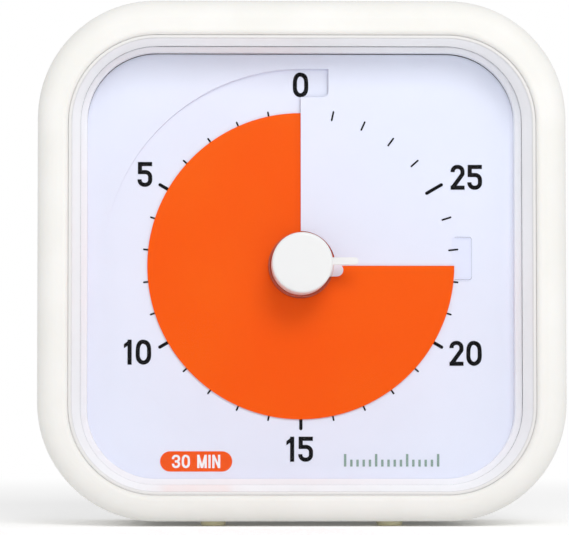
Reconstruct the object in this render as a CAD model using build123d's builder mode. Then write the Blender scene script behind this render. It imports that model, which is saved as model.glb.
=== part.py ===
from build123d import *
import math
import os

os.makedirs("parts", exist_ok=True)

# Visual countdown timer: a sleeved square case, a dial with a slit at 12 o'clock and an orange film
# disc that is screwed out of the slit by the knob. Millimetres. X is the width, Y runs from the
# front to the back, Z is up. The origin is on the floor, under the middle of the timer.

# Sleeve and case
body_width = 92.0
body_height = 90.7
body_depth = 42.0
corner_radius = 20.6
foot_height = 0.85           # how far the feet hold the sleeve off the floor
axis_drop = 0.54             # the knob's axis lies this far below the middle of the case
sleeve_wall = 2.2
sleeve_lip = 2.0             # thickness of the lips that hold the case front and back
sleeve_edge = 3.6            # rounding of the sleeve's outer edges
sleeve_lip_edge = 0.95
sleeve_back_edge = 0.7
back_lip_width = 4.5
case_wall = 2.2
case_edge = 2.4
rim_setback = 0.9            # the bezel's nose stands this far behind the sleeve's front
nose_edge = 0.2
parting_setback = 24.0       # joint between the front and the rear case
tongue_length = 2.5
back_panel_recess = 0.6      # the rear panel lies this far inside the sleeve's back
back_wall = 2.6

# Stack behind the bezel, measured back from the sleeve's front
lens_setback = 6.2
lens_thickness = 1.2
dial_setback = 10.3
wall_setback = 8.3           # from here to the dial the face opening's walls are straight

# Face opening, from the bezel's nose to the dial: setback, width, height, corner radius and how
# much lower than the dial's window it lies
face_stations = [
    (rim_setback, 80.0, 78.7, 14.8, 0.3),
    (lens_setback, 77.4, 76.9, 13.4, 0.1),
    (lens_setback + lens_thickness, 77.4, 76.9, 13.4, 0.1),
    (wall_setback, 75.3, 75.1, 12.2, 0.0),
    (dial_setback + 1.5, 75.3, 75.1, 12.2, 0.0),
]
nose_width = 0.5             # flat width of the nose
nose_clearance = 0.05
skirt_wall = 1.32            # wall of the sloping skirt behind the nose
carrier_gap = 2.6            # from the dial's front to the carrier's plate
carrier_plate = 1.6
carrier_ledge = 1.5          # the carrier holds the dial's leaf this far inside its edge
stack_clearance = 0.2
leaf_seat = 0.2              # how far the dial's leaf is let into its frame
hook_reach = 0.8             # snap hooks that hold the carrier in the front case
hook_length = 7.0
hook_depth = 1.2
hook_spread = 17.0

# Knob, lens hole and pointer
knob_radius = 5.28
knob_setback = 0.3
knob_edge = 0.5
knob_back = 8.9
lens_hole_radius = 5.65
pointer_setback = 4.6
pointer_thickness = 1.0
pointer_length = 9.9
pointer_width = 1.25
pointer_rise = 0.5
spindle_radius = 1.5
spindle_clearance = 0.05
spindle_in_knob = 6.0

# Dial and film disc
dial_sheet = 0.4
film_sheet = 0.2
film_gap = 0.15
screw_pitch = dial_sheet + film_sheet + 2 * film_gap
dial_bore_radius = 6.15
disc_radius = 27.1
hub_radius = 5.75
hub_overlap = 0.8            # the film is let into the hub by this much
hub_front = 0.45             # the hub stands this far in front of the dial's top layer
hub_length = 1.85
washer_radius = 4.9
washer_thickness = 0.3
washer_gap = 0.3             # room in front of the hub, which moves forward by a quarter of the pitch
ear_radius = 1.15
ear_reach = 6.3
ear_drop = 0.8
slit_radius = 29.9
recess_radius = 34.9
pocket_width = 4.9
pocket_corners = (1.0, 1.6)  # its lower and upper corner
tab_radius = 30.2
tab_overlap = 0.4
tab_above = 5.1
tab_below = 2.5
tab_corner = 0.4
shown_minutes = 22.5
full_minutes = 30.0

# Printing on the dial
ink = 0.06
ink_gap = 0.01
print_reach = 46.7           # the printing lies within this radius
minor_tick = (26.2, 28.0, 0.3)
major_tick = (25.45, 29.0, 0.57)
numeral_height = 4.4
numeral_stroke = 0.72
numeral_space = 0.5
numeral_spots = {
    0: (0.0, 32.15), 5: (-27.55, 16.2), 10: (-28.8, -15.25), 15: (-0.2, -32.35), 20: (29.1, -15.45),
    25: (29.3, 15.7),
}
badge_centre = (-18.45, -34.5)
badge_width = 12.7
badge_height = 3.55
badge_letter = 2.35
badge_stroke = 0.4
badge_space = 0.28
scale_centre = (16.0, -35.4)
scale_length = 16.4
scale_steps = 15
scale_mark = (0.42, 1.2)     # width and height
scale_long_mark = 2.2

# Movement
module = 0.25
wheel_teeth = 60
pinion_teeth = 10
drive_pinion_teeth = 12
wheel_thickness = 0.8
movement_width = 40.0
movement_height = 36.0
movement_x = -4.0
movement_z = 4.0
movement_depth = 11.5
movement_wall = 1.0
movement_radius = 2.5
arbor_radius = 0.35
pivot_radius = 0.6
bush_radius = 3.6
bearing_clearance = 0.05
magnet_radius = 2.4
magnet_length = 1.8
magnet_gap = 0.4

third_angle = 90.0           # direction from each arbor to the next, in degrees
second_angle = 180.0
rotor_angle = 270.0
bearing_height = 1.0
pivot_length = 0.6           # the arbors run this far into the cover
pivot_clearance = 0.1
ear_setback = 6.0            # movement screw ears, behind the carrier's plate
ear_thickness = 1.2
ear_rise = 8.0               # the movement's ears lie this far above and below its middle
cover_depth = 4.0            # depth of the movement's cover
first_layer = 0.6            # from the cover to the first wheel
layer_pitch = 1.5
bearing_wall = 0.8
wheel_hub_wall = 1.2
stator_thickness = 0.8
stator_width = 15.0
stator_height = 9.0
stator_leg = 3.0
stator_rise = 5.6            # from the cover's wall to the stator
core_drop = 9.7              # the coil's core lies this far below the rotor
core_width = 2.0
coil_size = 4.6
coil_length = 8.8
coil_corner = 1.2
coil_fit = 0.02
post_radius = 1.1
post_reach = 6.4
post_angle = 35.0

# Power, sound and fasteners
cell_radius = 7.25
cell_length = 49.2
cell_nub_radius = 2.7
cell_nub_length = 1.3
cell_edge = 0.6
cell_drop = 28.0             # the cell's axis lies this far below the knob's axis
cell_setback = 31.1
bay_clearance = 1.15
bay_wall = 1.4
bay_end = 4.2                # room for the spring contact
contact_sheet = 0.5
contact_width = 9.0
contact_shift = 1.5          # the contacts stand this far in front of the cell's axis
contact_rise = 0.4
contact_margin = 0.5
spring_wire = 0.35
spring_radius = 3.2
spring_turns = 3
spring_seat = 0.21           # the wire's middle stands this far off its plate
door_thickness = 1.8
door_ledge = 1.4
door_gap = 0.2
door_corner = 1.5
groove_count = 4             # grip grooves of the door
groove_edge = 1.2
groove_pitch = 1.3
groove_length = 12.0
groove_taper = 1.6
groove_width = 0.7
groove_depth = 0.5
board_width = 52.0
board_height = 16.0
board_thickness = 1.2
board_setback = 30.0
board_rise = 24.0
board_corner = 1.0
board_screw_inset = 2.8
board_screw_drop = 4.5
board_screw_length = 4.0     # in the post
buzzer_radius = 6.0
buzzer_height = 5.0
buzzer_x = 12.0
switch_x = -15.0
switch_travel = 3.0
switch_body = (9.0, 4.2, 3.8)
slider_stem = 2.2
slider_head = (4.2, 4.4)
slider_gap = 0.2
thumb_recess = 1.6
thumb_margin = 0.5
thumb_corner = 0.8
rib_groove = (0.45, 0.35)    # width and depth of the slider's grooves
rib_pitch = 1.2
head_corner = 0.6
sound_hole_radius = 0.8
sound_hole_ring = 3.2
sound_hole_count = 6
buzzer_port = (1.0, 1.2)     # radius and depth
crystal_radius = 1.1
crystal_length = 6.0
screw_radius = 1.0
screw_head_radius = 1.9
screw_head_height = 1.2
boss_radius = 2.4
tube_wall = 0.8              # the screw tubes are this much wider than the bosses
tube_length = 4.0
head_sink = 1.8
screw_length = 7.0           # depth of the pilot hole
screw_spare = 1.0            # of it the screw leaves this much free
screw_clearance = 0.2
head_clearance = 0.3
drive_length = 2.2           # cross recess
drive_width = 0.5
drive_depth = 0.6
lead_radius = 0.5
foot_width = 4.4
foot_length = 8.0
foot_spread = 15.45
foot_setback = 9.0
foot_seat = 0.9              # depth of the foot's pocket in the sleeve
foot_clearance = 0.03
foot_edge = 0.5

# Worked out from the sizes above
front_y = -body_depth / 2
case_middle = foot_height + body_height / 2
axis_height = case_middle - axis_drop
case_width = body_width - 2 * sleeve_wall
case_height = body_height - 2 * sleeve_wall
cavity_width = case_width - 2 * case_wall
cavity_height = case_height - 2 * case_wall
cavity_radius = corner_radius - sleeve_wall - case_wall
stack_width = cavity_width - 2 * stack_clearance
stack_height = cavity_height - 2 * stack_clearance
stack_radius = cavity_radius - stack_clearance
film_room = slit_radius + 1.0
case_front = sleeve_lip
case_back = body_depth - sleeve_lip
panel_back = body_depth - back_panel_recess
panel_front = panel_back - back_wall
lens_back = lens_setback + lens_thickness
dial_back = dial_setback + screw_pitch + dial_sheet
carrier_front = dial_setback + carrier_gap
carrier_back = carrier_front + carrier_plate
disc_start = 360 * (1 - shown_minutes / full_minutes)
case_screw_spots = [(-32, 28), (32, 28), (-35.5, -17), (35.5, -17)]
movement_screw_spots = [
    (movement_x - movement_width / 2 - boss_radius, movement_z + ear_rise),
    (movement_x + movement_width / 2 + boss_radius, movement_z - ear_rise),
]
board_screw_x = board_width / 2 - board_screw_inset
board_screw_z = board_rise - board_screw_drop
board_screw_spots = [(-board_screw_x, board_screw_z), (board_screw_x, board_screw_z)]
boss_back = panel_front - tube_length
head_seat = panel_front - head_sink
board_back = board_setback + board_thickness
cell_x = (bay_end - contact_sheet) / 2
bay_half = (cell_length + cell_nub_length + bay_end + contact_sheet) / 2
bay_room = cell_radius + bay_clearance
bay_front = cell_setback - cell_radius - door_gap
stator_setback = carrier_back + movement_wall + stator_rise
lead_x = bay_half - contact_sheet - lead_radius - stack_clearance / 10
lead_setback = cell_setback - 4.0
lead_end = lead_x - 7.0
# Points of a battery lead on the right side as (x, setback, height above the knob's axis)
lead_route = [
    (lead_x, lead_setback, -cell_drop + bay_room - 1.2),
    (lead_x, lead_setback, -9.0),
    (lead_x - 2.0, lead_setback + 1.6, 0.0),
    (lead_end, board_setback + board_thickness / 2, 8.0),
    (lead_end, board_setback + board_thickness / 2, board_rise - board_height / 2),
]
lead_radii = [10.0, 12.0, 6.0]


def step_off(spot, distance, angle):
    """Sketch point at a distance and a direction from another."""
    return spot[0] + distance * math.cos(math.radians(angle)), spot[1] + distance * math.sin(math.radians(angle))


third_spot = step_off((0, 0), module * (wheel_teeth + drive_pinion_teeth) / 2, third_angle)
second_spot = step_off(third_spot, module * (wheel_teeth + pinion_teeth) / 2, second_angle)
rotor_spot = step_off(second_spot, module * (wheel_teeth + pinion_teeth) / 2, rotor_angle)
stator_posts = [step_off(rotor_spot, post_reach, angle) for angle in (post_angle, 180 - post_angle)]

# Each pair meshes with a tooth of the wheel on the line of centres and a gap of the pinion facing it.
phases = {
    "output": third_angle,
    "third_pinion": third_angle + 180 + 180 / drive_pinion_teeth,
    "third": second_angle,
    "second_pinion": second_angle + 180 + 180 / pinion_teeth,
    "second": rotor_angle,
    "rotor_pinion": rotor_angle + 180 + 180 / pinion_teeth,
}


def facing(setback, height=axis_height, x=0.0):
    """Plane that faces the viewer, a given distance behind the sleeve's front."""
    return Plane(origin=(x, front_y + setback, height), x_dir=(1, 0, 0), z_dir=(0, -1, 0))


def opening(setback):
    """Width, height, corner radius and drop of the face opening at a setback."""
    spans = list(zip(face_stations, face_stations[1:]))
    before, after = next((span for span in spans if setback <= span[1][0]), spans[-1])
    share = (setback - before[0]) / (after[0] - before[0])
    return [first + share * (last - first) for first, last in zip(before[1:], after[1:])]


def funnel(front, back, grow=0.0):
    """The face opening's space between two setbacks of one span, as a solid."""
    with BuildPart() as space:
        for setback in (back, front):
            width, height, radius, drop = opening(setback)
            with BuildSketch(facing(setback, axis_height - drop)):
                RectangleRounded(width + 2 * grow, height + 2 * grow, radius + grow)
        loft(ruled=True)
    return space.part


def screw_slab(first, last, depth_first, depth_last, inner, outer, thickness):
    """Sheet between two radii and two clock angles. Its front face goes from one depth behind
    the dial's plane to the other as the angle grows, and its faces stay square to the axis."""
    falls = depth_last > depth_first
    clock, depth = (last, depth_last) if falls else (first, depth_first)
    place = facing(dial_setback + depth).location * Rot(0, 0, 90 - clock)
    rise = abs(depth_last - depth_first)
    middle = (inner + outer) / 2
    with BuildPart() as sheet:
        with BuildLine() as path:
            Helix(pitch=rise * 360 / (last - first), height=rise, radius=middle, lefthand=not falls)
        with BuildSketch(Plane.XZ):
            with Locations((middle, -thickness / 2)):
                Rectangle(outer - inner, thickness)
        sweep(path=path.line, is_frenet=True)
    return place * sheet.part


def dial_depth(clock):
    """Depth of the dial's front at a clock angle, inside the spiral recess."""
    return screw_pitch * clock / 360


def clock_spot(clock, radius):
    """Sketch coordinates of a clock angle and a radius about the knob's axis."""
    turn = math.radians(clock)
    return radius * math.sin(turn), radius * math.cos(turn)


def oval(width, height):
    """Outline a little squarer than an ellipse, through eight points."""
    shoulder = 0.38
    points = []
    for x, z in ((0, 0.5), (shoulder, shoulder), (0.5, 0), (shoulder, -shoulder)):
        points.append((x * width, z * height))
    points += [(-x, -z) for x, z in points]
    with BuildSketch() as shape:
        with BuildLine():
            Spline(*points, periodic=True)
        make_face()
    return shape.sketch


def glyph(character, height, width, stroke):
    """Outline of one upright character, centred on the sketch origin."""
    right = (width - stroke) / 2
    top = (height - stroke) / 2
    bend = 0.92 * right
    waist = 0.22 * top
    with BuildSketch() as shape:
        if character == "0":
            add(oval(width, height))
            add(oval(width - 2 * stroke, height - 2 * stroke), mode=Mode.SUBTRACT)
        if character == "1":
            with Locations((right / 2, 0)):
                Rectangle(stroke, height)
            Polygon((right / 2, height / 2), (-width / 2, top - 0.6 * stroke),
                    (-width / 2, top - 1.6 * stroke), (right / 2, top - 0.6 * stroke), align=None)
        if character == "2":
            with BuildLine() as path:
                FilletPolyline((-right, 0.5 * top), (-right, top), (right, top), (right, 0.3 * top),
                               (-right, -top), radius=[bend, bend, max(0.4 * bend, 0.52 * stroke)])
            trace(path.line, line_width=stroke)
            with Locations((0, -top)):
                Rectangle(width, stroke)
        if character == "5":
            with Locations((0.05 * width, top)):
                Rectangle(0.88 * width, stroke)
            with Locations((-0.93 * right, (top + waist) / 2)):
                Rectangle(stroke, top - waist + stroke)
            with BuildLine() as path:
                FilletPolyline((-right, waist), (right, waist), (right, -top), (-right, -top),
                               (-right, -0.48 * top), radius=bend)
            trace(path.line, line_width=stroke)
        if character == "3":
            for outer, inner in ((top, 0), (-top, 0)):
                with BuildLine() as path:
                    FilletPolyline((-right, 0.4 * outer), (-right, outer), (right, outer), (right, inner),
                                   (-0.4 * right, inner), radius=min(bend, 0.48 * top))
                trace(path.line, line_width=stroke)
        if character in "MN":
            for side in (-right, right):
                with Locations((side, 0)):
                    Rectangle(stroke, height)
            foot = 0 if character == "M" else right
            lean = stroke / 2
            Polygon((-right - lean, height / 2), (-right + lean, height / 2), (foot + lean, -height / 2),
                    (foot - lean, -height / 2), align=None)
            if character == "M":
                Polygon((right + lean, height / 2), (right - lean, height / 2), (-lean, -height / 2),
                        (lean, -height / 2), align=None)
        if character == "I":
            Rectangle(stroke, height)
    return shape.sketch


def word(characters, centre, height, stroke, spacing):
    """Characters side by side, as (outline, place) pairs about a centre."""
    widths = {"1": 0.36, "2": 0.56, "5": 0.59, "0": 0.62, "I": 0.16, "M": 0.72, "N": 0.6, " ": 0.3}
    sizes = [max(widths.get(letter, 0.61) * height, stroke) for letter in characters]
    total = sum(sizes) + spacing * (len(sizes) - 1)
    left = centre[0] - total / 2
    placed = []
    for letter, size in zip(characters, sizes):
        if letter != " ":
            placed.append((glyph(letter, height, size, stroke), (left + size / 2, centre[1])))
        left += size + spacing
    return placed


def ink_layer(level=1):
    """Thin skin in front of the dial that prints are cut from. Each level lies over the last."""
    lift = level * (ink + ink_gap)
    return screw_slab(0, 360, -lift, screw_pitch - lift, dial_bore_radius, print_reach, ink)


def case_block():
    """Outside of the rigid case, with its edges rounded."""
    with BuildPart() as block:
        with BuildSketch(facing(case_back, case_middle)):
            RectangleRounded(case_width, case_height, corner_radius - sleeve_wall)
        extrude(amount=case_back - case_front)
        fillet(block.faces().sort_by(Axis.Y)[0].edges(), case_edge)
        fillet(block.faces().sort_by(Axis.Y)[-1].edges(), case_edge)
    return block.part


def stack_outline():
    """Outline shared by the lens, the inner bezel, the dial and the carrier."""
    with BuildSketch() as outline:
        with Locations((0, axis_drop)):
            RectangleRounded(stack_width, stack_height, stack_radius)
    return outline.sketch


def gear(teeth, phase=0.0):
    """Flat outline of a wheel or pinion with slim straight-sided teeth, one at `phase` degrees."""
    pitch = module * teeth / 2
    tip = pitch + 0.85 * module
    root = pitch - 1.25 * module
    with BuildSketch() as outline:
        Circle(root)
        with PolarLocations(0, teeth, start_angle=phase):
            Polygon((root - 0.2 * module, -0.62 * module), (pitch, -0.46 * module), (tip, -0.26 * module),
                    (tip, 0.26 * module), (pitch, 0.46 * module), (root - 0.2 * module, 0.62 * module), align=None)
    return outline.sketch


def save(piece, name):
    """Name a finished piece and write it."""
    piece.label = name
    export_step(piece, f"parts/{name}.step")


# ---------------------------------------------------------------- sleeve, feet and case
block = case_block()
back_opening = (body_width - 2 * back_lip_width, body_height - 2 * back_lip_width)
back_radius = corner_radius - back_lip_width
nose = nose_width + nose_clearance

with BuildPart() as sleeve:
    with BuildSketch(facing(body_depth, case_middle)):
        RectangleRounded(body_width, body_height, corner_radius)
    extrude(amount=body_depth)
    for end in (0, -1):
        fillet(sleeve.faces().sort_by(Axis.Y)[end].edges(), sleeve_edge)
    add(block, mode=Mode.SUBTRACT)
    width, height, radius, drop = opening(rim_setback)
    with BuildSketch(facing(sleeve_lip + 1, axis_height - drop)):
        RectangleRounded(width + 2 * nose, height + 2 * nose, radius + nose)
    extrude(amount=sleeve_lip + 1, mode=Mode.SUBTRACT)
    fillet(sleeve.faces().sort_by(Axis.Y)[0].inner_wires()[0].edges(), sleeve_lip_edge)
    with BuildSketch(facing(body_depth, case_middle)):
        RectangleRounded(*back_opening, back_radius)
    extrude(amount=sleeve_lip + 1, mode=Mode.SUBTRACT)
    fillet(sleeve.faces().sort_by(Axis.Y)[-1].inner_wires()[0].edges(), sleeve_back_edge)
    # pockets for the feet
    with BuildSketch(Plane.XY.offset(foot_height)):
        for back in (foot_setback, body_depth - foot_setback):
            with Locations(*[(side * foot_spread, front_y + back) for side in (-1, 1)]):
                SlotOverall(foot_length + 2 * foot_clearance, foot_width + 2 * foot_clearance, rotation=90)
    extrude(amount=foot_seat, mode=Mode.SUBTRACT)
save(sleeve.part, "sleeve")

with BuildPart() as feet:
    with BuildSketch(Plane.XY):
        for back in (foot_setback, body_depth - foot_setback):
            with Locations(*[(side * foot_spread, front_y + back) for side in (-1, 1)]):
                SlotOverall(foot_length, foot_width, rotation=90)
    extrude(amount=foot_height + foot_seat)
    fillet(feet.faces().group_by(Axis.Z)[0].edges(), foot_edge)
save(feet.part, "feet")

with BuildPart() as front_case:
    add(block)
    # the bezel's nose, inside the sleeve's opening
    add(funnel(rim_setback, case_front + case_wall, nose_width))
    with BuildSketch(facing(case_back + 1, case_middle)):
        Rectangle(body_width, body_height)
    extrude(amount=case_back + 1 - parting_setback, mode=Mode.SUBTRACT)
    # hollow behind the front wall, leaving a sloping skirt round the opening
    with BuildSketch(facing(parting_setback, case_middle)):
        RectangleRounded(cavity_width, cavity_height, cavity_radius)
    extrude(amount=parting_setback - case_front - case_wall, mode=Mode.SUBTRACT)
    add(funnel(case_front + case_wall / 2, lens_setback, skirt_wall))
    add(funnel(rim_setback, lens_setback), mode=Mode.SUBTRACT)
    # hooks on the side walls that hold the carrier, and the stack in front of it
    with BuildSketch(facing(carrier_back + hook_depth)):
        for height in (-hook_spread, hook_spread):
            with Locations((0, axis_drop + height)):
                Rectangle(cavity_width + case_wall, hook_length)
                Rectangle(cavity_width - 2 * hook_reach, hook_length, mode=Mode.SUBTRACT)
    extrude(amount=hook_depth)
    fillet(front_case.faces().sort_by(Axis.Y)[0].inner_wires()[0].edges(), nose_edge)
save(front_case.part, "front_case")

# ---------------------------------------------------------------- lens, inner bezel and dial
outline = stack_outline()

with BuildPart() as lens:
    with BuildSketch(facing(lens_back)):
        add(outline)
        Circle(lens_hole_radius, mode=Mode.SUBTRACT)
    extrude(amount=lens_thickness)
save(lens.part, "lens")

bend = dial_depth(270)
frame_fall = screw_slab(0, 270, 0, bend, recess_radius, body_width, 3.0)
frame_rise = screw_slab(270, 360, bend, 0, recess_radius, body_width, 3.0)
dial_frame = frame_fall + frame_rise
leaf = screw_slab(0, 360, 0, screw_pitch, dial_bore_radius, recess_radius + leaf_seat, dial_sheet)

with BuildPart() as inner_bezel:
    with BuildSketch(facing(dial_setback + screw_pitch)):
        add(outline)
    extrude(amount=dial_setback + screw_pitch - lens_back)
    add(funnel(lens_back, wall_setback), mode=Mode.SUBTRACT)
    add(funnel(wall_setback, dial_setback + screw_pitch + 0.001), mode=Mode.SUBTRACT)
    # its back follows the front of the dial
    add(Pos(0, -ink_gap, 0) * dial_frame, mode=Mode.SUBTRACT)
save(inner_bezel.part, "inner_bezel")

front_space = 3.0
frame_lift = front_space - ink_gap
front_fall = screw_slab(0, 270, -frame_lift, bend - frame_lift, film_room, body_width, front_space)
front_rise = screw_slab(270, 360, bend - frame_lift, -frame_lift, film_room, body_width, front_space)

with BuildPart() as dial:
    with BuildSketch(facing(dial_back)):
        add(outline)
        Circle(recess_radius, mode=Mode.SUBTRACT)
    extrude(amount=dial_back - dial_setback + 1)
    add(front_fall, mode=Mode.SUBTRACT)
    add(front_rise, mode=Mode.SUBTRACT)
    add(leaf)
    # pocket to the right of 12 o'clock, at the depth of the slit's far lip
    pocket_height = recess_radius - slit_radius
    for top, bottom, mode in ((-1, screw_pitch, Mode.SUBTRACT), (screw_pitch, screw_pitch + dial_sheet, Mode.ADD)):
        with BuildSketch(facing(dial_setback + bottom)) as pocket:
            with Locations((0, slit_radius)):
                Rectangle(pocket_width, pocket_height, align=(Align.MIN, Align.MIN))
            for corner, size in zip(pocket.vertices().group_by(Axis.X)[-1].sort_by(Axis.Y), pocket_corners):
                fillet(corner, size)
        extrude(amount=bottom - top, mode=mode)
save(dial.part, "dial")

# ---------------------------------------------------------------- printing on the dial
with BuildPart() as dial_ticks:
    with BuildSketch(facing(dial_back)):
        for step in range(1, int(full_minutes)):
            inner, outer, width = major_tick if step % 5 == 0 else minor_tick
            clock = 360 * step / full_minutes
            with Locations(Location((*clock_spot(clock, (inner + outer) / 2), 0), (0, 0, 90 - clock))):
                SlotOverall(outer - inner, width)
    extrude(amount=dial_back - dial_setback + 1)
    add(ink_layer(), mode=Mode.INTERSECT)
save(dial_ticks.part, "dial_ticks")

with BuildPart() as dial_numerals:
    with BuildSketch(facing(dial_back)):
        for minutes in range(5, int(full_minutes), 5):
            figures = word(str(minutes), numeral_spots[minutes], numeral_height, numeral_stroke, numeral_space)
            for outline_face, place in figures:
                with Locations(place):
                    add(outline_face)
    extrude(amount=dial_back - dial_setback + 1)
    add(ink_layer(), mode=Mode.INTERSECT)
    # the zero is printed in the pocket, across the slit's line
    with BuildSketch(facing(dial_setback + screw_pitch - 2 * ink_gap)):
        for outline_face, place in word("0", numeral_spots[0], numeral_height, numeral_stroke, 0):
            with Locations(place):
                add(outline_face)
    extrude(amount=ink)
save(dial_numerals.part, "dial_numerals")

with BuildPart() as range_badge:
    with BuildSketch(facing(dial_back)):
        with Locations(badge_centre):
            SlotOverall(badge_width, badge_height)
    extrude(amount=dial_back - dial_setback + 1)
    add(ink_layer(), mode=Mode.INTERSECT)
save(range_badge.part, "range_badge")

with BuildPart() as badge_lettering:
    with BuildSketch(facing(dial_back)):
        for outline_face, place in word("30 MIN", badge_centre, badge_letter, badge_stroke, badge_space):
            with Locations(place):
                add(outline_face)
    extrude(amount=dial_back - dial_setback + 1)
    add(ink_layer(2), mode=Mode.INTERSECT)
save(badge_lettering.part, "badge_lettering")

with BuildPart() as dial_scale:
    with BuildSketch(facing(dial_back)):
        for step in range(scale_steps + 1):
            height = scale_long_mark if step % 5 == 0 else scale_mark[1]
            with Locations((scale_centre[0] + (step / scale_steps - 0.5) * scale_length, scale_centre[1])):
                Rectangle(scale_mark[0], height, align=(Align.CENTER, Align.MIN))
    extrude(amount=dial_back - dial_setback + 1)
    add(ink_layer(), mode=Mode.INTERSECT)
save(dial_scale.part, "dial_scale")

# ---------------------------------------------------------------- film disc, tab and hub
film_front = dial_depth(disc_start) - film_gap - film_sheet
film_sweep = (disc_start, disc_start + 360, film_front, film_front + screw_pitch)
tab_sweep = (disc_start - 15, disc_start + 15, film_front - screw_pitch / 24, film_front + screw_pitch / 24)

with BuildPart() as time_disc:
    add(screw_slab(*film_sweep, hub_radius - hub_overlap, disc_radius, film_sheet))
save(time_disc.part, "time_disc")

with BuildPart() as disc_tab:
    tab_inner = disc_radius - tab_overlap
    with BuildSketch(facing(dial_back)):
        with Locations(((tab_inner + tab_radius) / 2, (tab_above - tab_below) / 2)):
            RectangleRounded(tab_radius - tab_inner, tab_above + tab_below, tab_corner)
    extrude(amount=dial_back - dial_setback + 2)
    add(screw_slab(*tab_sweep, disc_radius - 2, tab_radius + 2, film_sheet), mode=Mode.INTERSECT)
    add(time_disc.part, mode=Mode.SUBTRACT)
save(disc_tab.part, "disc_tab")

with BuildPart() as disc_hub:
    with BuildSketch(facing(dial_setback - hub_front + hub_length)):
        Circle(hub_radius)
        Circle(spindle_radius + spindle_clearance, mode=Mode.SUBTRACT)
    extrude(amount=hub_length)
    # groove that the film's inner edge is let into
    add(time_disc.part, mode=Mode.SUBTRACT)
save(disc_hub.part, "disc_hub")

with BuildPart() as hub_washer:
    with BuildSketch(facing(dial_setback - hub_front - washer_gap)):
        Circle(washer_radius)
        with Locations((ear_reach, -ear_drop)):
            Circle(ear_radius)
        with Locations((ear_reach / 2, -ear_drop)):
            Rectangle(ear_reach, 2 * ear_radius)
        Circle(spindle_radius + spindle_clearance, mode=Mode.SUBTRACT)
    extrude(amount=washer_thickness)
save(hub_washer.part, "hub_washer")

# ---------------------------------------------------------------- knob
with BuildPart() as knob:
    with BuildSketch(facing(knob_back)):
        Circle(knob_radius)
    extrude(amount=knob_back - knob_setback)
    fillet(knob.faces().sort_by(Axis.Y)[0].edges(), knob_edge)
    with BuildSketch(facing(pointer_setback + pointer_thickness)):
        with Locations((pointer_length / 2, pointer_rise)):
            SlotOverall(pointer_length, pointer_width)
    extrude(amount=pointer_thickness)
    with BuildSketch(facing(knob_back)):
        Circle(spindle_radius + spindle_clearance)
    extrude(amount=spindle_in_knob, mode=Mode.SUBTRACT)
save(knob.part, "knob")

# ---------------------------------------------------------------- carrier behind the dial
with BuildPart() as dial_carrier:
    with BuildSketch(facing(carrier_back)):
        add(outline)
    extrude(amount=carrier_back - dial_back)
    with BuildSketch(facing(carrier_front)):
        Circle(recess_radius - carrier_ledge)
    extrude(amount=carrier_front - dial_back, mode=Mode.SUBTRACT)
    with BuildSketch(facing(carrier_back)):
        Circle(bush_radius + stack_clearance)
    extrude(amount=carrier_plate, mode=Mode.SUBTRACT)
    # bosses for the case screws, and lower ones for the movement screws
    with BuildSketch(facing(boss_back)):
        with Locations(*case_screw_spots):
            Circle(boss_radius)
    extrude(amount=boss_back - carrier_back)
    with BuildSketch(facing(boss_back)):
        with Locations(*case_screw_spots):
            Circle(screw_radius)
    extrude(amount=screw_length, mode=Mode.SUBTRACT)
    with BuildSketch(facing(carrier_back + ear_setback)):
        with Locations(*movement_screw_spots):
            Circle(boss_radius)
    extrude(amount=ear_setback)
    with BuildSketch(facing(carrier_back + ear_setback)):
        with Locations(*movement_screw_spots):
            Circle(screw_radius)
    extrude(amount=ear_setback + carrier_plate / 2, mode=Mode.SUBTRACT)
save(dial_carrier.part, "dial_carrier")

# ---------------------------------------------------------------- movement
cover_back = carrier_back + cover_depth
case_floor = carrier_back + movement_depth
layers = [carrier_back + movement_wall + first_layer + layer_pitch * layer for layer in range(4)]
train = {"output": (0.0, 0.0), "third": third_spot, "second": second_spot, "rotor": rotor_spot}

with BuildPart() as movement_cover:
    with BuildSketch(facing(cover_back)):
        with Locations((movement_x, movement_z)):
            RectangleRounded(movement_width, movement_height, movement_radius)
    extrude(amount=cover_back - carrier_back)
    with BuildSketch(facing(cover_back)):
        with Locations((movement_x, movement_z)):
            RectangleRounded(movement_width - 2 * movement_wall, movement_height - 2 * movement_wall,
                             movement_radius - movement_wall)
    extrude(amount=cover_back - carrier_back - movement_wall, mode=Mode.SUBTRACT)
    with BuildSketch(facing(carrier_back)):
        Circle(bush_radius)
    extrude(amount=carrier_plate)
    with BuildSketch(facing(carrier_back + movement_wall)):
        Circle(spindle_radius + spindle_clearance)
    extrude(amount=carrier_plate + movement_wall, mode=Mode.SUBTRACT)
    with BuildSketch(facing(carrier_back + movement_wall)):
        with Locations(*[train[name] for name in ("third", "second", "rotor")]):
            Circle(arbor_radius + bearing_clearance)
    extrude(amount=pivot_length + pivot_clearance, mode=Mode.SUBTRACT)
save(movement_cover.part, "movement_cover")

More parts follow.
